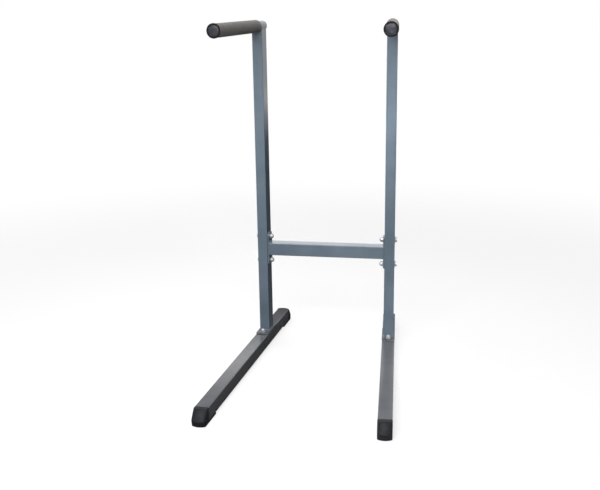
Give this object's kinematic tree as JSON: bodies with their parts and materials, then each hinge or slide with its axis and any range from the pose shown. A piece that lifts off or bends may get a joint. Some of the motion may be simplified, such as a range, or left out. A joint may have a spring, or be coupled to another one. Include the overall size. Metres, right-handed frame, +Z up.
{
  "type": "dip station",
  "caption": "Free-standing dip station: side frames that spread to the front, joined by a bolted crossbar, each with a floor rail, an upright and a foam-covered handle bar.",
  "frame": {"origin": "on the floor, in the middle of the length and width that the object covers", "axes": "+X to the right seen from the front, where the handles point; +Y to the rear; +Z up"},
  "size_m": [0.6796, 1.12, 1.3112],
  "materials": {
    "frame_paint": "gloss blue-grey powder coat",
    "rail_paint": "gloss dark grey powder coat",
    "foot_plastic": "satin black moulded plastic",
    "plug_plastic": "black moulded plastic",
    "grip_foam": "matt dark grey foam rubber",
    "zinc_steel": "bright zinc plate"
  },
  "bodies": {
    "root": {"crossbar": "frame_paint", "left_base_rail": "rail_paint", "left_front_foot_cap": "foot_plastic", "left_rear_foot_cap": "foot_plastic", "left_base_plate": "rail_paint", "left_upright": "frame_paint", "left_handle_tube": "frame_paint", "left_handle_grip": "grip_foam", "left_handle_front_plug": "plug_plastic", "left_handle_rear_plug": "plug_plastic", "left_crossbar_end_plate": "frame_paint", "left_base_bolt_front": "zinc_steel", "left_base_washer_front": "zinc_steel", "left_base_acorn_nut_front": "zinc_steel", "left_base_bolt_rear": "zinc_steel", "left_base_washer_rear": "zinc_steel", "left_base_acorn_nut_rear": "zinc_steel", "left_crossbar_bolt_upper": "zinc_steel", "left_crossbar_outer_washer_upper": "zinc_steel", "left_crossbar_inner_washer_upper": "zinc_steel", "left_crossbar_acorn_nut_upper": "zinc_steel", "left_crossbar_bolt_lower": "zinc_steel", "left_crossbar_outer_washer_lower": "zinc_steel", "left_crossbar_inner_washer_lower": "zinc_steel", "left_crossbar_acorn_nut_lower": "zinc_steel", "right_base_rail": "rail_paint", "right_front_foot_cap": "foot_plastic", "right_rear_foot_cap": "foot_plastic", "right_base_plate": "rail_paint", "right_upright": "frame_paint", "right_handle_tube": "frame_paint", "right_handle_grip": "grip_foam", "right_handle_front_plug": "plug_plastic", "right_handle_rear_plug": "plug_plastic", "right_crossbar_end_plate": "frame_paint", "right_base_bolt_front": "zinc_steel", "right_base_washer_front": "zinc_steel", "right_base_acorn_nut_front": "zinc_steel", "right_base_bolt_rear": "zinc_steel", "right_base_washer_rear": "zinc_steel", "right_base_acorn_nut_rear": "zinc_steel", "right_crossbar_bolt_upper": "zinc_steel", "right_crossbar_outer_washer_upper": "zinc_steel", "right_crossbar_inner_washer_upper": "zinc_steel", "right_crossbar_acorn_nut_upper": "zinc_steel", "right_crossbar_bolt_lower": "zinc_steel", "right_crossbar_outer_washer_lower": "zinc_steel", "right_crossbar_inner_washer_lower": "zinc_steel", "right_crossbar_acorn_nut_lower": "zinc_steel"}
  },
  "joints": []
}
